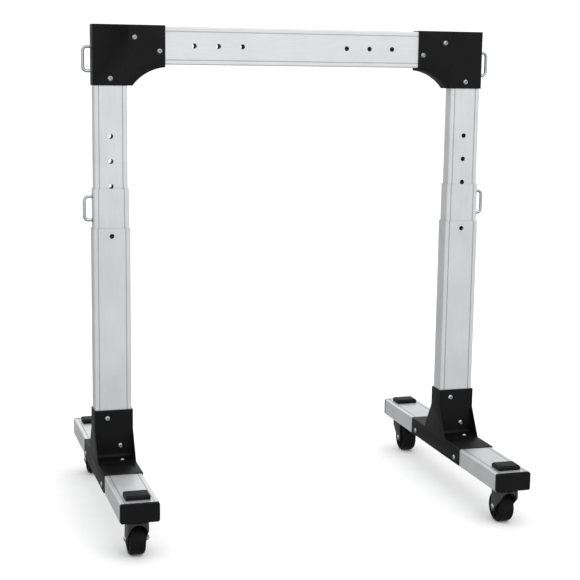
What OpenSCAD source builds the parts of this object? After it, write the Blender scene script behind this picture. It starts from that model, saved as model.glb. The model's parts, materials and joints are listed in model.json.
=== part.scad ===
// Portable gantry crane: a box beam on two telescoping legs, each standing on a castored foot.
// X runs along the beam, Y along the feet, Z up. The origin is on the floor, midway between the legs.

/* [Frame] */
// Distance between the centre lines of the two legs
leg_span = 1220; // [1000:10:1800]
// Length of each foot over its end caps
foot_len = 1020; // [840:10:1500]
// Width of the outer leg tube and of the foot beam
profile_w = 120; // [100:1:150]
// Depth of the outer leg tube and height of the foot beam
profile_d = 60; // [50:1:90]
// Height of the main beam's section
beam_h = 120; // [90:1:150]
// Wall thickness of every tube
tube_wall = 2.5; // [2.5:0.5:4]
// Outer corner radius of every tube
corner_r = 4; // [3.5:0.5:6]
// Running gap between one telescoping tube and the next, on each side
slide_gap = 1; // [1:0.1:2]
// Width of the decorative grooves along the tubes
groove_w = 3; // [1:0.5:5]
// Depth of the grooves
groove_depth = 1; // [0.5:0.1:1.2]
// Distance of each groove from the edge of its face
groove_inset = 15; // [12:1:25]

/* [Legs] */
// Length of the outer tube
outer_len = 762; // [700:1:1000]
// Length of the middle tube
middle_len = 733; // [640:1:860]
// Length of the inner tube
inner_len = 1002; // [900:1:1030]
// Height of the middle tube that stands out of the outer tube
middle_show = 128; // [124:1:170]
// Height of the inner tube that shows between the middle tube and the corner bracket
inner_show = 327; // [300:1:400]
// Distance between two lock holes
pin_pitch = 80; // [60:1:85]
// Diameter of a lock hole and of a hoist hole in the beam
pin_hole_d = 16; // [15:0.5:18]
// Height of the lock hole below the rim of the outer tube
pin_from_rim = 25; // [20:1:30]
// Thickness of the glide strips between the tubes
glide_t = 0.7; // [0.4:0.1:0.7]

/* [Beam] */
// Distance from the end of a corner bracket to the first hoist hole
hoist_first = 95; // [60:1:120]
// Distance between two hoist holes
hoist_pitch = 80; // [50:1:100]

/* [Brackets] */
// Thickness of the bracket plates
plate_t = 3; // [2:0.5:5]
// Clearance between a bracket and the tube in it, on each side
fit_gap = 0.5; // [0.3:0.1:0.8]
// Height of the corner bracket
bracket_h = 191; // [180:1:240]
// Reach of the beam sleeve beyond the leg sleeve
sleeve_len = 120; // [100:1:160]
// Radius of the concave edge of the corner gusset
gusset_r = 150; // [120:1:300]
// Height of the gusset at the end of the beam sleeve
gusset_tip = 5; // [3:1:12]
// Width of the gusset at the foot of the leg sleeve
gusset_foot = 14; // [8:1:30]
// Height of the leg socket above the saddle
socket_h = 162; // [150:1:200]
// Width of the straight upper part of the socket's side plates
socket_side = 71; // [68:1:100]
// Height of the flared lower part of the side plates
flare_h = 97; // [60:1:110]
// Reach of the flare at the saddle, from the leg's centre line
flare_reach = 92; // [84:1:120]
// Reach of the socket's bent toes, from the front and back plates
toe_len = 56; // [50:1:60]
// Inner radius of the bend between the socket's plates and their toes
toe_bend = 12; // [6:1:14]
// Length of the saddle along the foot
saddle_len = 430; // [340:1:500]
// Height of the saddle's side flanges below the top of the foot
saddle_drop = 57; // [50:1:60]

/* [Fasteners] */
// Thread diameter of the frame bolts
bolt_d = 10; // [8:1:12]
// Head diameter of the frame bolts
bolt_head_d = 17.5; // [16:0.5:24]
// Head height of the frame bolts
bolt_head_h = 6; // [5:1:8]
// Nut size across the flats
nut_af = 17; // [15:1:19]
// Nut height
nut_h = 8; // [6:1:10]

/* [Handles] */
// Diameter of the handle rod
handle_rod = 10; // [8:1:12]
// Height of a handle over its rod
handle_h = 86; // [80:1:90]
// Projection of a handle from the face that it stands on
handle_out = 32; // [30:1:45]
// Bend radius of the rod's centre line
handle_bend = 13; // [10:1:16]
// Centre of the upper handle below the top of the corner bracket
handle_drop = 108; // [90:1:120]

/* [Casters] */
// Wheel diameter
wheel_d = 100; // [90:1:104]
// Wheel width
wheel_w = 50; // [40:1:52]
// Radius of the rounded tread edges
tread_r = 10; // [6:1:14]
// Height from the floor to the underside of the foot
caster_h = 125; // [124:1:150]
// Distance from the end of the foot to the swivel axis
caster_inset = 60; // [56:1:90]
// Horizontal distance from the swivel axis to the wheel axle
trail = 22; // [15:1:30]
// Thickness of the fork plate
fork_t = 3.5; // [3:0.5:5]
// Clear width between the fork legs
fork_gap = 56; // [54:1:60]
// Diameter of the wheel axle
axle_d = 10; // [8:1:12]

/* [Locks] */
// Diameter of the lock pins
lock_d = 14.8; // [12:0.1:15]
// Travel of a lock pin from drawn to home
lock_travel = 9.5; // [8:0.5:11]

/* [Hidden] */
$fn = 48;

left = -1;
right = 1;
front = -1;
back = 1;
eps = 1;          // overshoot of a cut past the face that it leaves
running = 0.05;   // radial clearance of a pin that turns or slides in its bore
seated = 0.02;    // radial clearance of a pressed bush or a screwed nut
face_gap = 0.3;   // gap between two faces that move past each other

alu = "#c9cbcc";
black = "#1c1c1d";
zinc = "#b9bcbe";
nylon = "#e4e2da";

// Tube sections, from the outside in
middle_w = profile_w - 2 * (tube_wall + slide_gap);
middle_d = profile_d - 2 * (tube_wall + slide_gap);
inner_w = middle_w - 2 * (tube_wall + slide_gap);
inner_d = middle_d - 2 * (tube_wall + slide_gap);

// Heights, from the floor up
foot_top = caster_h + profile_d;
saddle_top = foot_top + plate_t;
socket_top = saddle_top + socket_h;
outer_top = saddle_top + outer_len;
middle_top = outer_top + middle_show;
bracket_z0 = middle_top + inner_show;
bracket_top = bracket_z0 + bracket_h;
beam_top = bracket_top - plate_t - fit_gap;
beam_mid = beam_top - beam_h / 2;
beam_z0 = beam_top - beam_h;
sleeve_z0 = beam_z0 - fit_gap - plate_t;

// Lock holes lie on one grid of pin_pitch that starts at the outer tube's hole
outer_lock_z = outer_top - pin_from_rim;
middle_lock_z = outer_lock_z + pin_pitch;
holes_below = 4;
holes_above = 4;

// Corner bracket, measured from the leg's centre line towards the beam
leg_side = inner_w / 2 + fit_gap + plate_t;
sleeve_end = leg_side + sleeve_len;
bracket_y = inner_d / 2 + fit_gap + plate_t;
cheek_inset = 1.5;
beam_end_gap = 0.5;
corner_bolt_at = [[0, bracket_z0 + 22], [leg_side + 22, beam_mid + 24], [sleeve_end - 18, beam_mid - 18]];

// Centre of the gusset's arc, which passes through its tip and its foot
gusset_a = [sleeve_end, sleeve_z0 - gusset_tip];
gusset_b = [leg_side + gusset_foot, bracket_z0];
gusset_chord = gusset_b - gusset_a;
gusset_perp = [-gusset_chord[1], gusset_chord[0]] / norm(gusset_chord);
gusset_centre = (gusset_a + gusset_b) / 2
    + gusset_perp * sqrt(gusset_r * gusset_r - pow(norm(gusset_chord) / 2, 2));

// Base
socket_side_x = profile_w / 2 + fit_gap;
socket_face_y = profile_d / 2 + fit_gap + plate_t;
toe_bolt_x = 22;
socket_bolt_at = [[-20, socket_top - 28], [toe_bolt_x, saddle_top + 40]];
toe_bolt_y = socket_face_y + toe_len * 0.6;
flange_bolt_y = saddle_len / 2 - 38;
flange_bolt_z = foot_top - 38;
cap_t = 10;
cap_r = 7;
cap_clear = 0.3;
cover_w = 76;
cover_l = 56;
cover_h = 15;
cover_chamfer = 4;
access_w = 60;
access_l = 34;

// Caster
caster_y = foot_len / 2 - caster_inset;
caster_plate_t = 3.5;
caster_plate_w = 105;
caster_plate_l = 85;
race_r = 30;
race_h = 8;
race_z0 = caster_h - caster_plate_t - race_h;
crown_top = race_z0 - face_gap;
crown_z0 = crown_top - fork_t;
crown_r = 36;
kingpin_r = 6;
kingpin_head_r = 10;
kingpin_head_h = 3;
kingpin_z0 = crown_z0 - face_gap - kingpin_head_h;
fork_side = fork_gap / 2 + fork_t;
fork_front = 33;
fork_brow_z = wheel_d / 2 + 38;
fork_eye_r = 15;
arch_r = fork_gap / 2;
arch_z = crown_z0 - arch_r - 1;
bush_r = 8;
axle_head_d = 18;
axle_head_h = 6.5;
caster_bolt_d = 8;
caster_bolt_x = 40;
caster_bolt_y = 30;
caster_nut_room = 9;
cap_plug = caster_inset - cap_t - caster_bolt_y - caster_nut_room;   // stops short of the nuts

// Locks
lock_body_r = 11;
lock_body_h = 16;
lock_flange = 32;
lock_flange_t = 3;
knob_r = 13;
knob_h = 16;
knob_edge = 3;

// Places its children on the centre line of one leg
module at_leg(side) { translate([side * leg_span / 2, 0, 0]) children(); }

// Places its children on one leg, with their +X towards the middle of the crane
module facing_in(side) { at_leg(side) mirror([side > 0 ? 1 : 0, 0, 0]) children(); }

// Places its children at the swivel axis of one caster
module at_caster(side, end) { at_leg(side) translate([0, end * caster_y, 0]) children(); }

// Places its children on one caster, with their +Y towards the middle of the foot
module trailing_in(side, end) { at_caster(side, end) mirror([0, end > 0 ? 1 : 0, 0]) children(); }

// A box from its lowest to its highest corner
module box(low, high) { translate(low) cube(high - low); }

// A slab in the XZ plane that starts at y0, from an outline drawn in X and Z
module xz_slab(y0, thick) {
    translate([0, y0 + thick, 0]) rotate([90, 0, 0]) linear_extrude(thick) children();
}

// A slab in the YZ plane that starts at x0, from an outline drawn in Y and Z
module yz_slab(x0, thick) { translate([x0, 0, 0]) rotate([90, 0, 90]) linear_extrude(thick) children(); }

// A round cut or bar along Y, and one along X
module bar_y(x, z, y0, y1, dia) { translate([x, y0, z]) rotate([-90, 0, 0]) cylinder(h = y1 - y0, d = dia); }
module bar_x(y, z, x0, x1, dia) { translate([x0, y, z]) rotate([0, 90, 0]) cylinder(h = x1 - x0, d = dia); }

module rounded_rect(w, d, r) {
    square([w - 2 * r, d], center = true);
    square([w, d - 2 * r], center = true);
    for (x = [-1, 1], y = [-1, 1]) translate([x * (w / 2 - r), y * (d / 2 - r)]) circle(r);
}

// Section of an extruded tube: rounded corners and two grooves in each wide face
module tube_section(w, d) {
    difference() {
        rounded_rect(w, d, corner_r);
        rounded_rect(w - 2 * tube_wall, d - 2 * tube_wall, corner_r - tube_wall);
        for (x = [-1, 1], y = [-1, 1]) translate([x * (w / 2 - groove_inset), y * d / 2])
            square([groove_w, 2 * groove_depth], center = true);
    }
}

// A domed socket-head bolt along +Z, with its head below z = 0
module bolt(len, dia, head_d, head_h) {
    dome_r = (head_d * head_d / 4 + head_h * head_h) / (2 * head_h);
    difference() {
        union() {
            cylinder(h = len, d = dia);
            rotate_extrude() intersection() {
                translate([0, dome_r - head_h]) circle(dome_r);
                translate([0, -head_h]) square([head_d / 2, head_h]);
            }
        }
        translate([0, 0, -head_h - eps]) cylinder(h = head_h * 0.6 + eps, d = dia * 0.7, $fn = 6);
    }
}

module nut(dia, flats, high) {
    difference() {
        cylinder(h = high, d = flats / cos(30), $fn = 6);
        translate([0, 0, -eps]) cylinder(h = high + 2 * eps, d = dia + 2 * seated);
    }
}

// ---- Beam and corner brackets ----

module main_beam() {
    beam_end = leg_span / 2 - inner_w / 2 - beam_end_gap;
    color(alu) difference() {
        translate([-beam_end, 0, beam_mid]) rotate([0, 90, 0]) linear_extrude(2 * beam_end)
            tube_section(beam_h, inner_d);
        for (side = [left, right]) facing_in(side) {
            for (i = [0:2]) bar_y(sleeve_end + hoist_first + i * hoist_pitch, beam_mid,
                -inner_d, inner_d, pin_hole_d);
            for (i = [1, 2]) bar_y(corner_bolt_at[i][0], corner_bolt_at[i][1], -inner_d, inner_d,
                bolt_d + 2 * fit_gap);
        }
    }
}

module gusset_box() {
    translate([leg_side - eps, bracket_z0]) square([sleeve_len + eps, sleeve_z0 - bracket_z0 + eps]);
}

module gusset_cheek() {
    difference() {
        gusset_box();
        translate(gusset_centre) circle(gusset_r, $fn = 180);
    }
}

module gusset_web() {
    intersection() {
        gusset_box();
        difference() {
            translate(gusset_centre) circle(gusset_r + plate_t, $fn = 180);
            translate(gusset_centre) circle(gusset_r, $fn = 180);
        }
    }
}

module corner_bracket(side) {
    hollow_y = inner_d / 2 + fit_gap;
    cheek_y = bracket_y - cheek_inset;
    color(black) facing_in(side) difference() {
        union() {
            difference() {
                union() {
                    box([-leg_side, -bracket_y, bracket_z0], [leg_side, bracket_y, bracket_top]);
                    box([-leg_side, -bracket_y, sleeve_z0], [sleeve_end, bracket_y, bracket_top]);
                }
                box([plate_t - leg_side, -hollow_y, bracket_z0 - eps],
                    [leg_side - plate_t, hollow_y, bracket_top - plate_t]);
                box([0, -hollow_y, beam_z0 - fit_gap], [sleeve_end + eps, hollow_y, bracket_top - plate_t]);
                // weld seams between the leg sleeve and the beam sleeve
                for (y = [-1, 1]) translate([leg_side, y * bracket_y, (sleeve_z0 + bracket_top) / 2])
                    cube([2, 1, bracket_top - sleeve_z0 - 2 * plate_t], center = true);
            }
            xz_slab(-cheek_y, plate_t) gusset_cheek();
            xz_slab(cheek_y - plate_t, plate_t) gusset_cheek();
            xz_slab(-cheek_y, 2 * cheek_y) gusset_web();
        }
        for (at = corner_bolt_at) bar_y(at[0], at[1], -bracket_y - eps, bracket_y + eps, bolt_d + 2 * seated);
    }
}

module corner_bolts() {
    color(zinc) for (side = [left, right]) facing_in(side) for (at = corner_bolt_at)
        translate([at[0], -bracket_y, at[1]]) rotate([-90, 0, 0])
            bolt(2 * bracket_y + nut_h + 3, bolt_d, bolt_head_d, bolt_head_h);
}

module corner_nuts() {
    color(zinc) for (side = [left, right]) facing_in(side) for (at = corner_bolt_at)
        translate([at[0], bracket_y, at[1]]) rotate([-90, 0, 0]) nut(bolt_d, nut_af, nut_h);
}

// A bent-rod handle that stands out along -X from the plane x = 0
module handle() {
    r = handle_rod / 2;
    stub = handle_out - r - handle_bend;
    half = handle_h / 2 - r;
    for (end = [-1, 1]) {
        bar_x(0, end * half, -stub, 0, handle_rod);
        bar_x(0, end * half, -2, 0, handle_rod + 5);
        translate([-stub, 0, end * (half - handle_bend)]) rotate([90, 0, 0])
            rotate([0, 0, end > 0 ? 90 : 180]) rotate_extrude(angle = 90)
                translate([handle_bend, 0]) circle(r);
    }
    translate([r - handle_out, 0, handle_bend - half]) cylinder(h = 2 * (half - handle_bend), r = r);
}

module upper_handles() {
    color(zinc) for (side = [left, right]) facing_in(side)
        translate([-leg_side, 0, bracket_top - handle_drop]) handle();
}

// ---- Telescoping legs ----

module inner_tube(side) {
    color(alu) at_leg(side) difference() {
        translate([0, 0, beam_top - inner_len]) linear_extrude(inner_len) tube_section(inner_w, inner_d);
        for (i = [-holes_below:holes_above])
            bar_y(0, outer_lock_z + i * pin_pitch, -inner_d, inner_d, pin_hole_d);
        bar_y(corner_bolt_at[0][0], corner_bolt_at[0][1], -inner_d, inner_d, bolt_d + 2 * fit_gap);
    }
}

module middle_tube(side) {
    color(alu) at_leg(side) difference() {
        translate([0, 0, middle_top - middle_len]) linear_extrude(middle_len)
            tube_section(middle_w, middle_d);
        for (i = [-holes_below:0])
            bar_y(0, outer_lock_z + i * pin_pitch, -middle_d, middle_d, pin_hole_d);
        bar_y(0, middle_lock_z, 0, middle_d, pin_hole_d);
    }
}

module outer_tube(side) {
    color(alu) facing_in(side) difference() {
        translate([0, 0, saddle_top]) linear_extrude(outer_len) tube_section(profile_w, profile_d);
        bar_y(0, outer_lock_z, -profile_d, profile_d, pin_hole_d);
        for (z = [outer_lock_z, socket_top + 40]) bar_x(0, z, -profile_w, -profile_w / 4, 8);
        mirror([side > 0 ? 1 : 0, 0, 0]) for (at = socket_bolt_at)
            bar_y(at[0], at[1], -profile_d, profile_d, bolt_d + 2 * fit_gap);
    }
}

// Glide strips on the inside of a tube of section w by d whose rim is at top
module glides(w, d, top) {
    strip_h = 60;
    strip_z0 = top - 40 - strip_h;
    in_x = w / 2 - tube_wall;
    in_y = d / 2 - tube_wall;
    for (end = [-1, 1]) {
        for (x = [-1, 1]) translate([x * in_x / 2 - 15, end > 0 ? in_y - glide_t : -in_y, strip_z0])
            cube([30, glide_t, strip_h]);
        translate([end > 0 ? in_x - glide_t : -in_x, -12, strip_z0]) cube([glide_t, 24, strip_h]);
    }
}

module middle_glides(side) { color(nylon) at_leg(side) glides(middle_w, middle_d, middle_top); }
module outer_glides(side) { color(nylon) at_leg(side) glides(profile_w, profile_d, outer_top); }

module middle_handle(side) {
    color(zinc) facing_in(side) translate([-middle_w / 2, 0, (outer_top + middle_top) / 2]) handle();
}

// Body of a lock that stands out along +Y from the back face of a tube
module lock_body() {
    rotate([-90, 0, 0]) difference() {
        union() {
            cylinder(h = lock_body_h, r = lock_body_r);
            linear_extrude(lock_flange_t) rounded_rect(lock_flange, lock_flange, 4);
        }
        translate([0, 0, -eps]) cylinder(h = lock_body_h + 2 * eps, d = lock_d + 2 * running);
    }
}

// Lock pin with its knob, drawn: the nose is flush with the inside of the tube's wall
module lock_pin() {
    knob_z0 = lock_body_h + lock_travel + face_gap;
    rotate([-90, 0, 0]) {
        translate([0, 0, -tube_wall]) cylinder(h = knob_z0 + tube_wall + eps, d = lock_d);
        translate([0, 0, knob_z0]) rotate_extrude() {
            square([knob_r - knob_edge, knob_h]);
            translate([0, knob_edge]) square([knob_r, knob_h - 2 * knob_edge]);
            for (z = [knob_edge, knob_h - knob_edge]) translate([knob_r - knob_edge, z]) circle(knob_edge);
        }
    }
}

module middle_lock_body(side) {
    color(black) at_leg(side) translate([0, middle_d / 2, middle_lock_z]) lock_body();
}

module middle_lock_pin(side) {
    color(zinc) at_leg(side) translate([0, middle_d / 2, middle_lock_z]) lock_pin();
}

module outer_lock_body(side) {
    color(black) at_leg(side) translate([0, profile_d / 2, outer_lock_z]) lock_body();
}

module outer_lock_pin(side) {
    color(zinc) at_leg(side) translate([0, profile_d / 2, outer_lock_z]) lock_pin();
}

// ---- Base brackets and feet ----

module socket_side_outline() {
    flare_z = saddle_top + flare_h;
    polygon([[-flare_reach, saddle_top], [flare_reach, saddle_top], [socket_side / 2, flare_z],
        [socket_side / 2, socket_top], [-socket_side / 2, socket_top], [-socket_side / 2, flare_z]]);
}

// A plate that runs down the leg and bends forward into a toe on the saddle, in Y and Z
module bent_plate_outline() {
    bend_z = saddle_top + plate_t + toe_bend;
    bend_y = socket_face_y + toe_bend;
    translate([socket_face_y - plate_t, bend_z]) square([plate_t, socket_top - bend_z]);
    translate([bend_y, saddle_top]) square([toe_len - toe_bend, plate_t]);
    difference() {
        translate([socket_face_y - plate_t, saddle_top]) square(toe_bend + plate_t);
        translate([bend_y, bend_z]) circle(toe_bend);
        difference() {
            translate([bend_y - 2 * (toe_bend + plate_t), bend_z - 2 * (toe_bend + plate_t)])
                square(2 * (toe_bend + plate_t));
            translate([bend_y, bend_z]) circle(toe_bend + plate_t);
        }
    }
}

module socket(side) {
    color(black) at_leg(side) difference() {
        union() {
            for (x0 = [-socket_side_x - plate_t, socket_side_x]) yz_slab(x0, plate_t) socket_side_outline();
            for (end = [0, 1]) mirror([0, end, 0])
                yz_slab(-socket_side_x, 2 * socket_side_x) bent_plate_outline();
        }
        for (at = socket_bolt_at)
            bar_y(at[0], at[1], -socket_face_y - eps, socket_face_y + eps, bolt_d + 2 * seated);
        for (end = [front, back]) translate([toe_bolt_x, end * toe_bolt_y, saddle_top - eps])
            cylinder(h = plate_t + 2 * eps, d = bolt_d + 2 * seated);
    }
}

module saddle(side) {
    flange_z0 = foot_top - saddle_drop;
    color(black) at_leg(side) difference() {
        union() {
            box([-socket_side_x - plate_t, -saddle_len / 2, foot_top],
                [socket_side_x + plate_t, saddle_len / 2, saddle_top]);
            for (x0 = [-socket_side_x - plate_t, socket_side_x])
                box([x0, -saddle_len / 2, flange_z0], [x0 + plate_t, saddle_len / 2, saddle_top]);
        }
        for (end = [front, back]) {
            translate([toe_bolt_x, end * toe_bolt_y, foot_top - eps])
                cylinder(h = plate_t + 2 * eps, d = bolt_d + 2 * seated);
            bar_x(end * flange_bolt_y, flange_bolt_z, -profile_w, profile_w, bolt_d + 2 * seated);
        }
    }
}

// Places its children at each fastener of one base, under the bolt's head or at its nut: the first child
// through the socket, the second through the toes and the third through the saddle's flanges
module at_base_bolts(at_nut) {
    for (at = socket_bolt_at) translate([at[0], at_nut ? socket_face_y : -socket_face_y, at[1]])
        rotate([-90, 0, 0]) children(0);
    for (end = [front, back]) {
        translate([toe_bolt_x, end * toe_bolt_y, at_nut ? foot_top - tube_wall : saddle_top + plate_t])
            rotate([180, 0, 0]) children(1);
        translate([(at_nut ? 1 : -1) * (socket_side_x + plate_t), end * flange_bolt_y, flange_bolt_z])
            rotate([0, 90, 0]) children(2);
    }
}

module base_bolts(side) {
    past_nut = nut_h + 3;
    color(zinc) at_leg(side) at_base_bolts(false) {
        bolt(2 * socket_face_y + past_nut, bolt_d, bolt_head_d, bolt_head_h);
        bolt(2 * plate_t + tube_wall + past_nut, bolt_d, bolt_head_d, bolt_head_h);
        bolt(2 * (socket_side_x + plate_t) + past_nut, bolt_d, bolt_head_d, bolt_head_h);
    }
}

module base_nuts(side) {
    color(zinc) at_leg(side) at_base_bolts(true) {
        nut(bolt_d, nut_af, nut_h);
        nut(bolt_d, nut_af, nut_h);
        nut(bolt_d, nut_af, nut_h);
    }
}

module foot_beam(side) {
    tube_len = foot_len - 2 * cap_t;
    color(alu) at_leg(side) difference() {
        translate([0, tube_len / 2, foot_top - profile_d / 2]) rotate([90, 0, 0]) linear_extrude(tube_len)
            tube_section(profile_w, profile_d);
        for (end = [front, back]) {
            translate([toe_bolt_x, end * toe_bolt_y, foot_top - 2 * tube_wall])
                cylinder(h = 3 * tube_wall, d = bolt_d + 2 * fit_gap);
            bar_x(end * flange_bolt_y, flange_bolt_z, -profile_w, profile_w, bolt_d + 2 * fit_gap);
            translate([0, end * caster_y, 0]) {
                box([-access_w / 2, -access_l / 2, foot_top - 2 * tube_wall],
                    [access_w / 2, access_l / 2, foot_top + eps]);
                for (x = [-1, 1], y = [-1, 1])
                    translate([x * caster_bolt_x, y * caster_bolt_y, caster_h - eps])
                        cylinder(h = 2 * tube_wall + eps, d = caster_bolt_d + 2 * fit_gap);
            }
        }
    }
}

module end_caps(side) {
    plug_w = profile_w - 2 * (tube_wall + cap_clear);
    plug_d = profile_d - 2 * (tube_wall + cap_clear);
    color(black) at_leg(side) for (end = [front, back])
        translate([0, end * (foot_len / 2 - cap_t), foot_top - profile_d / 2]) rotate([end * -90, 0, 0]) {
            linear_extrude(cap_t) rounded_rect(profile_w, profile_d, cap_r);
            translate([0, 0, -cap_plug]) linear_extrude(cap_plug + eps) difference() {
                rounded_rect(plug_w, plug_d, 2);
                square([plug_w - 6, plug_d - 6], center = true);
            }
        }
}

module foot_covers(side) {
    lip = 0.3;
    color(black) for (end = [front, back]) at_caster(side, end) translate([0, 0, foot_top]) {
        hull() {
            translate([0, 0, (cover_h - cover_chamfer) / 2])
                cube([cover_w, cover_l, cover_h - cover_chamfer], center = true);
            translate([0, 0, cover_h / 2])
                cube([cover_w - 2 * cover_chamfer, cover_l - 2 * cover_chamfer, cover_h], center = true);
        }
        translate([0, 0, -tube_wall]) linear_extrude(tube_wall + eps) difference() {
            square([access_w - 2 * lip, access_l - 2 * lip], center = true);
            square([access_w - 8, access_l - 8], center = true);
        }
    }
}

// ---- Casters ----

module caster_plates(side) {
    color(zinc) for (end = [front, back]) at_caster(side, end) difference() {
        union() {
            translate([0, 0, caster_h - caster_plate_t]) linear_extrude(caster_plate_t)
                rounded_rect(caster_plate_w, caster_plate_l, 8);
            translate([0, 0, race_z0]) cylinder(h = race_h + eps, r = race_r);
            translate([0, 0, kingpin_z0]) cylinder(h = race_z0 - kingpin_z0 + eps, r = kingpin_r);
            translate([0, 0, kingpin_z0]) cylinder(h = kingpin_head_h, r = kingpin_head_r);
        }
        for (x = [-1, 1], y = [-1, 1])
            translate([x * caster_bolt_x, y * caster_bolt_y, caster_h - caster_plate_t - eps])
                cylinder(h = caster_plate_t + 2 * eps, d = caster_bolt_d + 2 * seated);
    }
}

module caster_bolts(side) {
    nut_high = 6;
    color(zinc) for (end = [front, back], x = [-1, 1], y = [-1, 1])
        at_caster(side, end) translate([x * caster_bolt_x, y * caster_bolt_y, caster_h - caster_plate_t]) {
            bolt(caster_plate_t + tube_wall + nut_high + 2, caster_bolt_d, 14, 4);
            translate([0, 0, caster_plate_t + tube_wall]) nut(caster_bolt_d, 13, nut_high);
        }
}

module fork_leg_outline() {
    polygon([[-fork_front, crown_top], [-fork_front, fork_brow_z], [trail - fork_eye_r, wheel_d / 2],
        [trail + fork_eye_r, wheel_d / 2], [fork_front, fork_brow_z], [fork_front, crown_top]]);
    translate([trail, wheel_d / 2]) circle(fork_eye_r);
}

module fork(side, end) {
    color("#3a3b3d") trailing_in(side, end) difference() {
        union() {
            translate([0, 0, crown_z0]) cylinder(h = fork_t, r = crown_r);
            box([-fork_side, -fork_front, crown_z0], [fork_side, fork_front, crown_top]);
            for (x0 = [-fork_side, fork_gap / 2]) yz_slab(x0, fork_t) fork_leg_outline();
            // apron on the side that the wheel trails away from, arched over the wheel
            xz_slab(-fork_front, fork_t) difference() {
                translate([-fork_side, fork_brow_z]) square([2 * fork_side, crown_top - fork_brow_z]);
                translate([0, arch_z]) circle(arch_r);
                translate([-arch_r, fork_brow_z - eps])
                    square([2 * arch_r, max(0, arch_z - fork_brow_z) + eps]);
            }
        }
        translate([0, 0, crown_z0 - eps]) cylinder(h = fork_t + 2 * eps, r = kingpin_r + running);
        bar_x(trail, wheel_d / 2, -fork_side - eps, fork_side + eps, axle_d + 2 * seated);
    }
}

// Places its children on the axle of one caster, with their axis along X
module on_axle(side, end) {
    trailing_in(side, end) translate([0, trail, wheel_d / 2]) rotate([0, 90, 0]) children();
}

module wheel(side, end) {
    rim_r = wheel_d / 2;
    bore_r = bush_r + seated;
    color(black) on_axle(side, end) rotate_extrude($fn = 96) difference() {
        union() {
            translate([bore_r, -wheel_w / 2]) square([rim_r - tread_r - bore_r, wheel_w]);
            translate([bore_r, tread_r - wheel_w / 2]) square([rim_r - bore_r, wheel_w - 2 * tread_r]);
            for (z = [-1, 1]) translate([rim_r - tread_r, z * (wheel_w / 2 - tread_r)]) circle(tread_r);
        }
        for (z = [-1, 1]) translate([(rim_r + bush_r) / 2 - 2, z * wheel_w / 2])
            square([rim_r * 0.4, 8], center = true);
    }
}

module bush(side, end) {
    half = fork_gap / 2 - face_gap;
    color(zinc) on_axle(side, end) difference() {
        translate([0, 0, -half]) cylinder(h = 2 * half, r = bush_r);
        translate([0, 0, -half - eps]) cylinder(h = 2 * (half + eps), d = axle_d + 2 * running);
    }
}

module axle(side, end) {
    color(zinc) on_axle(side, end) translate([0, 0, -fork_side]) {
        bolt(2 * fork_side + nut_h + 2, axle_d, axle_head_d, axle_head_h);
        translate([0, 0, 2 * fork_side]) nut(axle_d, nut_af, nut_h);
    }
}

main_beam();
corner_bolts();
corner_nuts();
upper_handles();

corner_bracket(left);  // left_corner_bracket
inner_tube(left);  // left_inner_tube
middle_tube(left);  // left_middle_tube
middle_handle(left);  // left_middle_handle
middle_glides(left);  // left_middle_glides
middle_lock_body(left);  // left_middle_lock_body
middle_lock_pin(left);  // left_middle_lock_pin
outer_tube(left);  // left_outer_tube
outer_glides(left);  // left_outer_glides
outer_lock_body(left);  // left_outer_lock_body
outer_lock_pin(left);  // left_outer_lock_pin
socket(left);  // left_socket
saddle(left);  // left_saddle
base_bolts(left);  // left_base_bolts
base_nuts(left);  // left_base_nuts
foot_beam(left);  // left_foot_beam
end_caps(left);  // left_end_caps
foot_covers(left);  // left_foot_covers
caster_plates(left);  // left_caster_plates
caster_bolts(left);  // left_caster_bolts

corner_bracket(right);  // right_corner_bracket
inner_tube(right);  // right_inner_tube
middle_tube(right);  // right_middle_tube
middle_handle(right);  // right_middle_handle
middle_glides(right);  // right_middle_glides
middle_lock_body(right);  // right_middle_lock_body
middle_lock_pin(right);  // right_middle_lock_pin
outer_tube(right);  // right_outer_tube
outer_glides(right);  // right_outer_glides
outer_lock_body(right);  // right_outer_lock_body
outer_lock_pin(right);  // right_outer_lock_pin
socket(right);  // right_socket
saddle(right);  // right_saddle
base_bolts(right);  // right_base_bolts
base_nuts(right);  // right_base_nuts
foot_beam(right);  // right_foot_beam
end_caps(right);  // right_end_caps
foot_covers(right);  // right_foot_covers
caster_plates(right);  // right_caster_plates
caster_bolts(right);  // right_caster_bolts

fork(left, front);  // front_left_fork
wheel(left, front);  // front_left_wheel
bush(left, front);  // front_left_bush
axle(left, front);  // front_left_axle
fork(left, back);  // back_left_fork
wheel(left, back);  // back_left_wheel
bush(left, back);  // back_left_bush
axle(left, back);  // back_left_axle
fork(right, front);  // front_right_fork
wheel(right, front);  // front_right_wheel
bush(right, front);  // front_right_bush
axle(right, front);  // front_right_axle
fork(right, back);  // back_right_fork
wheel(right, back);  // back_right_wheel
bush(right, back);  // back_right_bush
axle(right, back);  // back_right_axle
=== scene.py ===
# %% [markdown]
# # Portable gantry crane
# The real thing is cut from aluminium extrusion and folded steel plate, then bolted together by hand.
# A CAD model already fixes every size and joint. This lesson gives each part its look, so it starts by
# loading the CAD model, and everything that is made later is placed from it.

# %% Load the frame
import json
import math
import bmesh
import bpy
from mathutils import Matrix, Vector


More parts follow.
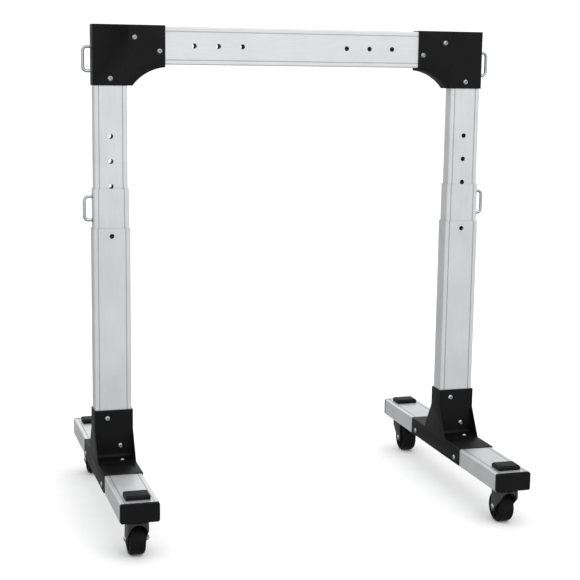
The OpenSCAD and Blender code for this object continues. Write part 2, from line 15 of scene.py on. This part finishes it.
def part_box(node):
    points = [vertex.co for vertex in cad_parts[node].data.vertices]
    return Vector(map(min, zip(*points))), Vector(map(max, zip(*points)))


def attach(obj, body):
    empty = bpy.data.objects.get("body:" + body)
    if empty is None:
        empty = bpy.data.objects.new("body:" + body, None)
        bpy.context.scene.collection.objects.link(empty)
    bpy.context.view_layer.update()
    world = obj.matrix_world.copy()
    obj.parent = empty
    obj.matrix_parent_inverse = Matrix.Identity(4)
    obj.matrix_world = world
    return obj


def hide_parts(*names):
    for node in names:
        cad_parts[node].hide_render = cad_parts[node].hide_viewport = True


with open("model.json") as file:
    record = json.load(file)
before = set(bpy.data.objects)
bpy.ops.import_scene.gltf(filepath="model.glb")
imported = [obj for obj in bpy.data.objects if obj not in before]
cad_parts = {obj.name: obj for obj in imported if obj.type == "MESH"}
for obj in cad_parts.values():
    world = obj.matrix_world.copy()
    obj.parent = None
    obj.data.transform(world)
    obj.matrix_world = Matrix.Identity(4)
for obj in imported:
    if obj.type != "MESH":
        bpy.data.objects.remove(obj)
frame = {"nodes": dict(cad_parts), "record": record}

MM = 0.001
scene = bpy.context.scene
cad_nodes = frame["nodes"]
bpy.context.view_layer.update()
bodies = frame["record"]["behaviour"]["bodies"]
body_of = {name: body for body, names in bodies.items() for name in names}
slot_of = {part["node"]: part["material_slot"] for part in frame["record"]["subparts"]}
print("parts:", len(cad_nodes), "bodies:", len(bodies))

# %% [markdown]
# ## One helper for shader and geometry nodes
# A node tree is easiest to read when every node is added in the same way: its type, its settings and
# what goes into each socket. A socket takes either a plain value or the output of an earlier node.

# %% Node helper
def add(tree, kind, inputs=None, **settings):
    made = tree.nodes.new(kind)
    for name, value in settings.items():
        setattr(made, name, value)
    for socket, value in (inputs or {}).items():
        if isinstance(value, bpy.types.NodeSocket):
            tree.links.new(value, made.inputs[socket])
        else:
            made.inputs[socket].default_value = value
    return made


def linear(hex_colour):
    """The linear colour of an sRGB hex value, with an alpha of 1."""
    parts = [int(hex_colour[i:i + 2], 16) / 255 for i in (1, 3, 5)]
    return tuple(c / 12.92 if c <= 0.04045 else ((c + 0.055) / 1.055) ** 2.4 for c in parts) + (1,)


def per_metre(size_mm):
    """The scale that makes one cell of a pattern size_mm across, on coordinates in metres."""
    return 1 / (size_mm * MM)


print("mid grey is", round(linear("#808080")[0], 3), "in linear light")

# %% [markdown]
# ## A common start for every material
# All the finishes share a skeleton: a fine pattern moves the colour and the roughness a little, and a
# second one lifts the surface. Only the numbers differ, so a small function builds the skeleton from
# them. The stretch is what makes drawn lines out of round noise. Grooves and recesses can get painted
# shade, darker the less of its surroundings a point sees, standing in for the shade that falls there:
# thin lines would be lost without it.

# %% Material skeleton
DRIFT_MM = 140                 # a slow change of tone over a hand's width, so large faces don't look printed
BUMP_MM = 0.1                  # full height of the raised pattern
# painted shade: the grey that grooves and recesses are darkened towards, and how sharply it sets in
HOLLOW_SHADE_COLOUR, HOLLOW_SHADE_CONTRAST = "#6E7072", 2.5


def make_finish(name, dark, light, metallic, rough, grain_mm, bump_mm, bump_strength, stretch=(1, 1, 1),
                edge=None, specular=0.5, hollow_shade_mm=None):
    made = bpy.data.materials.new(name)
    made.use_nodes = True
    tree = made.node_tree
    shader = tree.nodes["Principled BSDF"]
    shader.inputs["Metallic"].default_value = metallic
    shader.inputs["Specular IOR Level"].default_value = specular
    place = add(tree, "ShaderNodeTexCoord").outputs["Object"]
    run = add(tree, "ShaderNodeMapping", {"Vector": place, "Scale": stretch}).outputs["Vector"]
    cloud = add(tree, "ShaderNodeTexNoise",
                {"Vector": run, "Scale": per_metre(grain_mm), "Detail": 4.0, "Roughness": 0.6}).outputs[0]
    drift = add(tree, "ShaderNodeTexNoise",
                {"Vector": place, "Scale": per_metre(DRIFT_MM), "Detail": 2.0}).outputs[0]
    both = add(tree, "ShaderNodeMath", {0: cloud, 1: drift}, operation="ADD").outputs[0]
    half = add(tree, "ShaderNodeMath", {0: both, 1: 0.5}, operation="MULTIPLY").outputs[0]
    ramp = add(tree, "ShaderNodeValToRGB", {"Fac": half})
    for stop, where, colour in zip(ramp.color_ramp.elements, (0.35, 0.65), (dark, light)):
        stop.position, stop.color = where, linear(colour)
    colour = ramp.outputs["Color"]
    # rounded edges are lightened in patches: partly a worn, thinner coat, partly a painted highlight
    if edge:
        edge_wear_and_highlight = add(tree, "ShaderNodeAttribute", attribute_name="edge").outputs["Fac"]
        patchy_wear_and_highlight = add(tree, "ShaderNodeMath", {0: edge_wear_and_highlight, 1: drift}, operation="MULTIPLY").outputs[0]
        mix = add(tree, "ShaderNodeMix", {"Factor": patchy_wear_and_highlight, 6: colour, 7: linear(edge)}, data_type="RGBA")
        colour = mix.outputs[2]
    # painted shade: grooves and recesses are darkened towards the shade grey, the more the less of their
    # surroundings they see
    if hollow_shade_mm:
        openness = add(tree, "ShaderNodeAmbientOcclusion", {"Distance": hollow_shade_mm * MM},
                       only_local=True, samples=8).outputs["AO"]
        raised = add(tree, "ShaderNodeMath", {0: openness, 1: HOLLOW_SHADE_CONTRAST}, operation="POWER").outputs[0]
        shade = add(tree, "ShaderNodeMix",
                    {"Factor": raised, 6: linear(HOLLOW_SHADE_COLOUR), 7: colour}, data_type="RGBA")
        colour = shade.outputs[2]
    tree.links.new(colour, shader.inputs["Base Color"])
    spread = add(tree, "ShaderNodeMapRange", {"Value": half, "From Min": 0.3, "From Max": 0.7,
                                              "To Min": rough[0], "To Max": rough[1]})
    tree.links.new(spread.outputs["Result"], shader.inputs["Roughness"])
    pits = add(tree, "ShaderNodeTexNoise",
               {"Vector": run, "Scale": per_metre(bump_mm), "Detail": 3.0}).outputs[0]
    bump = add(tree, "ShaderNodeBump",
               {"Height": pits, "Strength": bump_strength, "Distance": BUMP_MM * MM})
    tree.links.new(bump.outputs["Normal"], shader.inputs["Normal"])
    return made


# %% [markdown]
# ## Satin anodised aluminium
# Aluminium pushed through a die keeps faint lines that all run the way it was pushed. The eye reads the
# direction before it reads the metal, so each tube needs the lines along its own length. The pattern is
# the same for all of them, squeezed sixty times along X, Y or Z. Real die lines are under 0.2 mm apart:
# they are drawn 1.5 mm apart here, because finer ones don't show. The anodised skin scatters part of the
# light, as paint does, so the metal is mixed with it instead of being a full mirror.

# %% Aluminium, one for each direction
DIE_LINE_MM = 1.5
ALONG = {"x": (1 / 60, 1, 1), "y": (1, 1 / 60, 1), "z": (1, 1, 1 / 60)}
# the tubes' grooves are darkened with painted shade that reaches 4 mm
extruded = {way: make_finish(f"satin anodised aluminium along {way}", "#C5C6C7", "#D3D4D5", 0.7, (0.38, 0.48),
                             DIE_LINE_MM, DIE_LINE_MM, 0.25, stretch, hollow_shade_mm=4)
            for way, stretch in ALONG.items()}
print("aluminium directions:", sorted(extruded))

# %% [markdown]
# ## The other finishes
# Powder coat is melted plastic dust, so it has an orange-peel skin with lumps of about 1 mm, and it
# thins on folded edges. Zinc plate shows soft crystals and bright reflections, and its hollows are
# darkened with painted shade. The casters' forks are dipped in a duller grey coat, the wheels are moulded
# rubber, and the caps are moulded with fine grain. On the coats and the caps the rounded edges are
# lightened in patches, partly as a worn, thinner coat and partly as a painted highlight.

# %% Coats, plate, rubber and plastics
# the edge colours lighten the rounded edges, partly as wear and partly as a painted highlight; the zinc's
# hollows get painted shade
materials = {
    "black_powder_coat": make_finish("satin black powder coat", "#0B0B0C", "#121213", 0.0, (0.36, 0.5),
                                     1.0, 1.0, 0.35, edge="#38383A", specular=0.1),
    "zinc_plate": make_finish("bright zinc plate", "#9EA2A6", "#C6CACD", 1.0, (0.16, 0.32),
                              3.0, 0.8, 0.1, hollow_shade_mm=6),
    "fork_steel": make_finish("dipped grey pressed steel", "#1C1D1F", "#2A2B2D", 0.0, (0.38, 0.55),
                              1.6, 1.0, 0.3, edge="#5A5C60"),
    "wheel_rubber": make_finish("moulded black rubber", "#0A0A0B", "#111112", 0.0, (0.5, 0.68),
                                2.2, 0.6, 0.3, specular=0.1),
    "black_plastic": make_finish("grained black ABS", "#0B0B0C", "#111113", 0.0, (0.42, 0.56),
                                 0.9, 0.5, 0.45, edge="#2C2C2E", specular=0.1),
    "glide_nylon": make_finish("natural nylon", "#DAD7CC", "#ECEAE2", 0.0, (0.45, 0.6), 2.0, 0.6, 0.15),
}
print("finishes:", len(materials) + len(extruded))

# %% [markdown]
# ## Dressing the CAD parts
# Every part gets the finish of its material slot. For the tubes the finish depends on where the tube
# runs, and its longest side says that.

# %% Give each CAD part its finish
def finish_of(name):
    if slot_of[name] != "aluminium":
        return materials[slot_of[name]]
    low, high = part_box(name)
    sides = list(high - low)
    return extruded["xyz"[sides.index(max(sides))]]


for name, part in cad_nodes.items():
    part.data.materials.clear()
    part.data.materials.append(finish_of(name))
print("dressed:", len(cad_nodes))

# %% [markdown]
# ## Softening the folded and moulded parts
# No made edge is perfectly sharp. A fold has a radius and a moulding has a lip, and both catch a thin
# line of light, which is what tells the eye how thick a plate is. The CAD part has none, so a copy of it
# is welded together, its long outer edges are rounded, and the copy stands in for it. The new faces are
# marked, so that the finish can be lighter there: partly a thinner, worn coat and partly a painted
# highlight.

# %% Softened copies
def welded(name):
    shape = bmesh.new()
    shape.from_mesh(cad_nodes[name].data)
    bmesh.ops.remove_doubles(shape, verts=shape.verts, dist=0.01 * MM)
    bmesh.ops.dissolve_limit(shape, angle_limit=math.radians(0.2), verts=shape.verts, edges=shape.edges)
    return shape


def piece_from(shape, name, material, smooth_below=35):
    mesh = bpy.data.meshes.new(name)
    shape.to_mesh(mesh)
    shape.free()
    return piece_of_mesh(mesh, name, material, smooth_below)


def piece_of_mesh(mesh, name, material, smooth_below=35):
    mesh.materials.clear()
    mesh.materials.append(material)
    mesh.shade_smooth()
    mesh.set_sharp_from_angle(angle=math.radians(smooth_below))
    made = bpy.data.objects.new(name, mesh)
    scene.collection.objects.link(made)
    return made


def stand_in(made, *names):
    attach(made, body_of[names[0]])
    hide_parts(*names)


def soften(name, radius_mm):
    shape = welded(name)
    # the rounded faces are marked for the lighter edge colour, which is partly wear and partly a painted
    # highlight
    mark = shape.faces.layers.float.new("edge")
    long_edges = [e for e in shape.edges if len(e.link_faces) == 2 and e.is_convex
                  and e.calc_face_angle(0) > math.radians(30) and e.calc_length() > 4 * MM]
    rounded = bmesh.ops.bevel(shape, geom=long_edges, offset=radius_mm * MM, segments=3, profile=0.5,
                              affect="EDGES", clamp_overlap=True)
    for face in rounded["faces"]:
        face[mark] = 1.0
    made = piece_from(shape, name + "_soft", finish_of(name))
    stand_in(made, name)
    return made


SOFT_MM = {"corner_bracket": 0.7, "socket": 0.7, "saddle": 0.8, "end_caps": 1.0, "foot_covers": 1.0,
           "fork": 0.6, "caster_plates": 0.5, "lock_body": 0.6, "handle": 0.4, "handles": 0.4}
softened = [soften(name, radius) for name in sorted(cad_nodes)
            for ending, radius in SOFT_MM.items() if name.endswith("_" + ending)]
print("softened:", len(softened), "faces:", sum(len(o.data.polygons) for o in softened))

# %% [markdown]
# ## Turned shapes
# A bolt head, a nut, a wheel and a knob are all a profile swept round an axis. Here a profile is a list of
# radius and height, and a ring of points is made at each of them. A hexagon is the same ring with the
# radius changed from point to point, so a nut and a socket need no other tool.

# %% Sweep a profile round Z
def ring_radius(radius, angle, hexagonal):
    """A round ring's radius, or that of a hexagon whose flats are that far from the axis."""
    if not hexagonal:
        return radius
    sixth = math.pi / 3
    return radius / math.cos(angle % sixth - sixth / 2)


def turned(profile, sides, hollow=False):
    shape = bmesh.new()
    rings = []
    for radius, height, hexagonal in profile:
        ring = []
        for k in range(sides):
            angle = 2 * math.pi * k / sides
            r = ring_radius(radius, angle, hexagonal)
            ring.append(shape.verts.new((r * math.cos(angle), r * math.sin(angle), height)))
        rings.append(ring)
    pairs = list(zip(rings, rings[1:])) + ([(rings[-1], rings[0])] if hollow else [])
    for lower, upper in pairs:
        for k in range(sides):
            n = (k + 1) % sides
            shape.faces.new((lower[k], lower[n], upper[n], upper[k]))
    if not hollow:
        shape.faces.new(rings[0])
        shape.faces.new(rings[-1])
    bmesh.ops.recalc_face_normals(shape, faces=shape.faces)
    return shape


# %% [markdown]
# ## Separate solids of a CAD part
# One CAD part can hold many bolts. Faces that share no point belong to different solids, so walking from
# point to point along the edges finds each bolt, and its own box says where it is.

# %% Find the solids
def solids(name):
    shape = welded(name)
    seen, found = set(), []
    for start in shape.verts:
        if start in seen:
            continue
        seen.add(start)
        todo, points = [start], []
        while todo:
            vertex = todo.pop()
            points.append(vertex.co.copy())
            for edge in vertex.link_edges:
                other = edge.other_vert(vertex)
                if other not in seen:
                    seen.add(other)
                    todo.append(other)
        found.append(points)
    shape.free()
    return found


def size_of(points):
    return [max(p[i] for p in points) - min(p[i] for p in points) for i in range(3)]


NUT_FLATTER_THAN = 12 * MM


def is_nut(points):
    return min(size_of(points)) < NUT_FLATTER_THAN


def bolt_facts(points):
    """Where the bolt's head sits, where its tip is, and the head's radius and height."""
    size = size_of(points)
    way = size.index(max(size))
    middle = [(max(p[i] for p in points) + min(p[i] for p in points)) / 2 for i in range(3)]
    off_axis = lambda p: math.hypot(*[p[i] - middle[i] for i in range(3) if i != way])
    widest = max(points, key=off_axis)
    ends = sorted((max, min), key=lambda end: abs(end(p[way] for p in points) - widest[way]))
    top, tip = [end(p[way] for p in points) for end in ends]
    seat_point, tip_point = Vector(middle), Vector(middle)
    seat_point[way], tip_point[way] = widest[way], tip
    return {"seat": seat_point, "tip": tip_point, "radius": off_axis(widest),
            "height": abs(top - widest[way])}


print("base bolts on one side:", len(solids("left_base_bolts")))

# %% [markdown]
# ## Bolts and nuts with Geometry Nodes
# The frame is held by the same domed socket-head bolt over and over. That makes it a job for Geometry
# Nodes: each bolt is one edge from its seat to its tip, and the tree puts a head on one end, a nut on the
# other and a shank along it. A change to the head then changes all of them.

# %% The head and the nut
SIDES = 24
THREAD_PITCH_MM = 1.5


def head_shape(radius, height, thread_r):
    """A domed head that sits on z = 0, with a hexagon socket in its top."""
    dome_r = (radius ** 2 + height ** 2) / (2 * height)
    socket_r, socket_depth = thread_r * 0.7, height * 0.75
    lip_r = socket_r * 1.3
    profile = [(radius * 0.97, 0, False), (radius, height * 0.06, False)]
    for share in (0.93, 0.82, 0.68, 0.55):
        r = radius * share
        profile.append((r, height - dome_r + math.sqrt(dome_r ** 2 - r ** 2), False))
    top = height - dome_r + math.sqrt(dome_r ** 2 - lip_r ** 2)
    return turned(profile + [(lip_r, top, False), (socket_r, top - 0.3 * MM, True),
                             (socket_r, height - socket_depth, True)], SIDES)


def nut_shape(flats, height, thread_r, past):
    """A chamfered nut whose bolt ends at z = 0, past being how far the thread stands out of it."""
    low, high, flat_r = -(height + past), -past, flats / 2
    profile = [(flat_r, low, False), (flat_r, low + 0.1 * height, True), (flat_r, high - 0.1 * height, True),
               (flat_r, high, False), (thread_r, high, False)]
    turns = max(1, int(past / (THREAD_PITCH_MM * MM)))
    step = past / (2 * turns)
    for k in range(turns):
        profile += [(thread_r * 0.9, high + (2 * k + 1) * step, False),
                    (thread_r, high + (2 * k + 1.8) * step, False)]
    return turned(profile + [(thread_r * 0.8, 0, False)], SIDES)


def socket_named(tree, label):
    return next(s.identifier for s in tree.interface.items_tree
                if s.item_type == "SOCKET" and s.in_out == "INPUT" and s.name == label)


def new_tree(label, inputs):
    tree = bpy.data.node_groups.new(label, "GeometryNodeTree")
    tree.interface.new_socket("Geometry", in_out="INPUT", socket_type="NodeSocketGeometry")
    for name, kind in inputs.items():
        tree.interface.new_socket(name, in_out="INPUT", socket_type="NodeSocket" + kind)
    tree.interface.new_socket("Geometry", in_out="OUTPUT", socket_type="NodeSocketGeometry")
    return tree, add(tree, "NodeGroupInput").outputs


def end_tree(tree, parts, material):
    joined = add(tree, "GeometryNodeJoinGeometry")
    for part in parts:
        tree.links.new(part, joined.inputs["Geometry"])
    real = add(tree, "GeometryNodeRealizeInstances", {"Geometry": joined.outputs[0]})
    coated = add(tree, "GeometryNodeSetMaterial", {"Geometry": real.outputs[0], "Material": material})
    add(tree, "NodeGroupOutput", {"Geometry": coated.outputs[0]})


def grown(tree, base, values, name, material):
    """The plain mesh that the tree makes from base with those inputs."""
    scene.collection.objects.link(base)
    modifier = base.modifiers.new(tree.name, "NODES")
    modifier.node_group = tree
    for label, value in values.items():
        modifier[socket_named(tree, label)] = value
    graph = bpy.context.evaluated_depsgraph_get()
    mesh = bpy.data.meshes.new_from_object(base.evaluated_get(graph))
    base.modifiers.remove(modifier)
    bpy.data.objects.remove(base)
    mesh.name = name
    return piece_of_mesh(mesh, name, material)


# %% The fastener tree
fastener_tree, given = new_tree("bolts along edges", {"Head": "Object", "Nut": "Object",
                                                      "Shank Radius": "Float", "Material": "Material"})
outward = add(fastener_tree, "GeometryNodeInputNamedAttribute", {"Name": "outward"},
              data_type="FLOAT_VECTOR").outputs["Attribute"]
at_head = add(fastener_tree, "GeometryNodeInputNamedAttribute", {"Name": "at_head"},
              data_type="BOOLEAN").outputs["Attribute"]
at_nut = add(fastener_tree, "FunctionNodeBooleanMath", {0: at_head}, operation="NOT").outputs[0]
turn = add(fastener_tree, "FunctionNodeAlignRotationToVector", {"Vector": outward}, axis="Z").outputs[0]
made_parts = []
for label, chosen in (("Head", at_head), ("Nut", at_nut)):
    shape = add(fastener_tree, "GeometryNodeObjectInfo", {"Object": given[label]}).outputs["Geometry"]
    made_parts.append(add(fastener_tree, "GeometryNodeInstanceOnPoints",
                          {"Points": given["Geometry"], "Selection": chosen, "Instance": shape,
                           "Rotation": turn}).outputs[0])
line = add(fastener_tree, "GeometryNodeMeshToCurve", {"Mesh": given["Geometry"]}).outputs[0]
round_bar = add(fastener_tree, "GeometryNodeCurvePrimitiveCircle",
                {"Radius": given["Shank Radius"], "Resolution": SIDES}).outputs[0]
made_parts.append(add(fastener_tree, "GeometryNodeCurveToMesh",
                      {"Curve": line, "Profile Curve": round_bar, "Fill Caps": True}).outputs[0])
end_tree(fastener_tree, made_parts, given["Material"])
print("fastener tree nodes:", len(fastener_tree.nodes))


# %% Set every bolt
def fasten(name, thread_r, *names):
    points = [p for n in names for p in solids(n)]
    bolts = [bolt_facts(p) for p in points if not is_nut(p)]
    nut_sizes = [sorted(size_of(p)) for p in points if is_nut(p)]
    nut_height, flats = nut_sizes[0][0], nut_sizes[0][1]
    first_nut = next(p for p in points if is_nut(p))
    near = min(min((b["tip"] - p).length for p in first_nut) for b in bolts)
    past = math.sqrt(max(near ** 2 - thread_r ** 2, 0))
    edges = bpy.data.meshes.new(name + "_lines")
    ends = [point for b in bolts for point in (b["seat"], b["tip"])]
    edges.from_pydata(ends, [(2 * k, 2 * k + 1) for k in range(len(bolts))], [])
    away = edges.attributes.new("outward", "FLOAT_VECTOR", "POINT")
    heads = edges.attributes.new("at_head", "BOOLEAN", "POINT")
    for k, bolt in enumerate(bolts):
        along = (bolt["tip"] - bolt["seat"]).normalized()
        away.data[2 * k].vector, away.data[2 * k + 1].vector = -along, along
        heads.data[2 * k].value, heads.data[2 * k + 1].value = True, False
    zinc = materials["zinc_plate"]
    head = piece_from(head_shape(bolts[0]["radius"], bolts[0]["height"], thread_r), "head", zinc)
    nut = piece_from(nut_shape(flats, nut_height, thread_r, past), "nut", zinc)
    made = grown(fastener_tree, bpy.data.objects.new(name + "_lines", edges),
                 {"Head": head, "Nut": nut, "Shank Radius": thread_r * 0.9, "Material": zinc}, name, zinc)
    for template in (head, nut):
        bpy.data.objects.remove(template)
    stand_in(made, *names)
    print(name, "bolts:", len(bolts), "thread past the nut, mm:", round(past / MM, 1))
    return made


FRAME_THREAD_R = 5 * MM
fasten("upper_fasteners", FRAME_THREAD_R, "corner_bolts", "corner_nuts")
for side in ("left", "right"):
    fasten(side + "_base_fasteners", FRAME_THREAD_R, side + "_base_bolts", side + "_base_nuts")
for name in sorted(cad_nodes):
    if name.endswith("_axle"):
        fasten(name + "_bolt", FRAME_THREAD_R, name)

# %% [markdown]
# ## Rings of ribs
# The wheel's hub has moulded webs and the lock's knob has a ribbed grip. Both are one small bar repeated
# round a circle, so both come from one tree with a count, a radius and a bar size.

# %% The rib tree
rib_tree, given = new_tree("ribs round a circle", {"Count": "Int", "Ring Radius": "Float",
                                                   "Rib Size": "Vector", "Half Spacing": "Float",
                                                   "Material": "Material"})
circle = add(rib_tree, "GeometryNodeMeshCircle", {"Vertices": given["Count"],
                                                  "Radius": given["Ring Radius"]}).outputs[0]
place = add(rib_tree, "GeometryNodeInputPosition").outputs[0]
facing = add(rib_tree, "FunctionNodeAlignRotationToVector", {"Vector": place}, axis="X").outputs[0]
bar = add(rib_tree, "GeometryNodeMeshCube", {"Size": given["Rib Size"]}).outputs[0]
ribs = add(rib_tree, "GeometryNodeInstanceOnPoints",
           {"Points": circle, "Instance": bar, "Rotation": facing}).outputs[0]
rib_parts = [given["Geometry"]]
for way in (1, -1):
    height = add(rib_tree, "ShaderNodeMath",
                 {0: given["Half Spacing"], 1: way}, operation="MULTIPLY").outputs[0]
    shift = add(rib_tree, "ShaderNodeCombineXYZ", {"Z": height}).outputs[0]
    moved = add(rib_tree, "GeometryNodeTransform", {"Geometry": ribs, "Translation": shift})
    rib_parts.append(moved.outputs[0])
end_tree(rib_tree, rib_parts, given["Material"])
print("rib tree nodes:", len(rib_tree.nodes))

# %% [markdown]
# ## The wheels
# A caster wheel this wide is moulded in two halves that meet in the middle of the tread, so there is a
# fine line round it. The side has a boss round the axle, a sunk ring with webs that save material, and
# a rim that rolls over into the tread.

# %% Wheels
WEBS = 8
WEB_MM = (19.0, 3.0, 3.2)       # along the radius, across and deep
RECESS_MM = (17.0, 37.0, 4.0)   # inner radius, outer radius and depth
SEAM_MM = (0.8, 0.5)            # half width and depth of the line round the tread
GROOVE_AT_MM = 8                # from the middle of the tread to the next line on each side
LIP_MM = 0.6                    # rounding of the boss and the rim
BORE_GAP_MM = 0.02              # between the bush and the hub
ARC_STEPS = 8


def wheel_profile(radius, half_width, bore_r, tread_r=10 * MM):
    inner, outer, deep = [v * MM for v in RECESS_MM]
    seam_w, seam_d = [v * MM for v in SEAM_MM]
    lip = LIP_MM * MM
    half = [(bore_r, half_width - lip), (bore_r + lip, half_width), (inner - lip, half_width),
            (inner, half_width - lip), (inner + lip, half_width - deep), (outer - lip, half_width - deep),
            (outer, half_width - lip), (outer + lip, half_width)]
    for k in range(ARC_STEPS + 1):
        turn = math.pi / 2 * (1 - k / ARC_STEPS)
        half.append((radius - tread_r + tread_r * math.cos(turn),
                     half_width - tread_r + tread_r * math.sin(turn)))
    for line in (GROOVE_AT_MM * MM, 0):
        half += [(radius, line + seam_w), (radius - seam_d, line)]
        if line:
            half.append((radius, line - seam_w))
    other = [(r, -z) for r, z in reversed(half[:-1])]
    return [(r, z, False) for r, z in half + other]


def middle_of(name):
    low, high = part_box(name)
    return (low + high) / 2


def make_wheel(name):
    low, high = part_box(name)
    bush_low, bush_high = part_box(name.replace("_wheel", "_bush"))
    half_width, radius = (high.x - low.x) / 2, (high.z - low.z) / 2
    bore_r = (bush_high.z - bush_low.z) / 2 + BORE_GAP_MM * MM
    rubber = materials["wheel_rubber"]
    blank = piece_from(turned(wheel_profile(radius, half_width, bore_r), 96, hollow=True), "blank", rubber)
    scene.collection.objects.unlink(blank)
    web = [v * MM for v in WEB_MM]
    made = grown(rib_tree, blank, {"Count": WEBS, "Ring Radius": (RECESS_MM[0] + RECESS_MM[1]) / 2 * MM,
                                   "Rib Size": web,
                                   "Half Spacing": half_width - RECESS_MM[2] * MM + web[2] / 2,
                                   "Material": rubber}, name + "_moulded", rubber)
    made.data.transform(Matrix.Translation(middle_of(name)) @ Matrix.Rotation(math.pi / 2, 4, "Y"))
    stand_in(made, name)
    return made


wheels = [make_wheel(name) for name in sorted(cad_nodes) if name.endswith("_wheel")]
print("wheels:", len(wheels), "faces each:", len(wheels[0].data.polygons))

# %% [markdown]
# ## The lock knobs
# The knob that draws a lock pin is pulled with two fingers, so its rim has a ribbed grip. The pin stays
# the CAD part, and the grip is added round it on the same body.

# %% Ribbed grips
GRIP_RIBS = 28
GRIP_RIB_MM = (0.9, 1.2, 9.0)


def make_grip(name):
    low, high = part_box(name)
    knob_r = (high.x - low.x) / 2
    at = middle_of(name)
    rim = [v.co.y for v in cad_nodes[name].data.vertices
           if math.hypot(v.co.x - at.x, v.co.z - at.z) > knob_r * 0.98]
    zinc = materials["zinc_plate"]
    empty_base = bpy.data.objects.new("grip_base", bpy.data.meshes.new("grip_base"))
    made = grown(rib_tree, empty_base, {"Count": GRIP_RIBS, "Ring Radius": knob_r,
                                        "Rib Size": [v * MM for v in GRIP_RIB_MM], "Half Spacing": 0.0,
                                        "Material": zinc}, name + "_grip", zinc)
    at.y = (min(rim) + max(rim)) / 2
    made.data.transform(Matrix.Translation(at) @ Matrix.Rotation(math.pi / 2, 4, "X"))
    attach(made, body_of[name])
    return made


grips = [make_grip(name) for name in sorted(cad_nodes) if name.endswith("_lock_pin")]
print("grips:", len(grips))

# %% [markdown]
# ## Floor and light
# A pale floor and large soft lights show form without hard shadows. Bare aluminium shows whatever it
# faces, and in an even white room the front and the side of a tube would look alike. So the room has two
# brightnesses. What is seen directly, and what lights matt surfaces, is white paper. What a polished
# surface mirrors is a shaded room, darkest below and behind, and the floor is kept out of it.

# %% Stage
FLOOR_SIZE = 60.0
floor_shape = bmesh.new()
bmesh.ops.create_grid(floor_shape, x_segments=1, y_segments=1, size=FLOOR_SIZE / 2)
floor_paint = make_finish("matt pale floor paint", "#FBFBFB", "#FFFFFF", 0.0, (0.85, 0.95), 4.0, 3.0, 0.02)
floor = piece_from(floor_shape, "floor", floor_paint)
floor.visible_glossy = False

# %% Room
PAPER_LIGHT = 1.12
MIRRORED_LIGHT = 0.76                  # at the horizon
MIRRORED_RISE = (0.0, -0.25, 0.95)     # how it grows towards +X, +Y and +Z
MIRRORED_MIN, MIRRORED_MAX = 0.35, 1.0

room = bpy.data.worlds.new("studio")
room.use_nodes = True
nodes = room.node_tree
toward = add(nodes, "ShaderNodeTexCoord").outputs["Generated"]
rise = add(nodes, "ShaderNodeVectorMath", {0: toward, 1: MIRRORED_RISE}, operation="DOT_PRODUCT")
risen = add(nodes, "ShaderNodeMath",
            {0: rise.outputs["Value"], 1: MIRRORED_LIGHT}, operation="ADD").outputs[0]
mirrored = add(nodes, "ShaderNodeClamp",
               {"Value": risen, "Min": MIRRORED_MIN, "Max": MIRRORED_MAX}).outputs[0]
is_mirrored = add(nodes, "ShaderNodeLightPath").outputs["Is Glossy Ray"]
strength = add(nodes, "ShaderNodeMix", {"Factor": is_mirrored, 2: PAPER_LIGHT, 3: mirrored}).outputs[0]
backdrop = nodes.nodes["Background"]
backdrop.inputs["Color"].default_value = linear("#FFFFFF")
nodes.links.new(strength, backdrop.inputs["Strength"])
room.cycles.sampling_method = "NONE"  # aimed samples would miss the difference between the two brightnesses
scene.world = room
scene.view_settings.view_transform = "Standard"  # white paper comes out white and black stays black
print("room nodes:", len(nodes.nodes))


# %% Soft lights
LIGHTS_AIM_AT = Vector((0, 0, 0.8))
SOFTBOXES = {"key": ((1.5, -4.5, 4.0), 3.5, 40), "fill": ((1.0, -5.0, 1.5), 4.0, 10),
             "top": ((0.0, 0.0, 5.0), 5.0, 15), "back": ((0.5, 5.0, 4.0), 5.0, 40)}  # place, width, watts


def softbox(name, place, size, power):
    lamp = bpy.data.lights.new(name, "AREA")
    lamp.shape, lamp.size, lamp.energy = "DISK", size, power
    made = bpy.data.objects.new(name, lamp)
    made.location = place
    made.rotation_mode = "QUATERNION"
    made.rotation_quaternion = (LIGHTS_AIM_AT - Vector(place)).to_track_quat("-Z", "Y")
    scene.collection.objects.link(made)


for name, (place, size, power) in SOFTBOXES.items():
    softbox(name, place, size, power)

# %% [markdown]
# ## Camera
# The crane is seen from the left and a little above, with a long lens that keeps its legs nearly parallel.
# The angles are the heading from +Y towards +X, the tilt below the horizon, and a small roll.

# %% Camera
CAMERA_AT = (-1.2933, -4.2805, 1.4746)
HEADING, TILT, ROLL = math.radians(16.81), math.radians(9.535), math.radians(0.778)
LENS_MM = 82.9

forward = Vector((math.sin(HEADING) * math.cos(TILT), math.cos(HEADING) * math.cos(TILT), -math.sin(TILT)))
level = Vector((math.cos(HEADING), -math.sin(HEADING), 0))
above = level.cross(forward)
across = level * math.cos(ROLL) + above * math.sin(ROLL)
upward = above * math.cos(ROLL) - level * math.sin(ROLL)
lens = bpy.data.cameras.new("camera")
lens.lens, lens.sensor_width = LENS_MM, 36.0
camera = bpy.data.objects.new("camera", lens)
camera.matrix_world = Matrix.Translation(CAMERA_AT) @ Matrix((across, upward, -forward)).transposed().to_4x4()
scene.collection.objects.link(camera)
scene.camera = camera
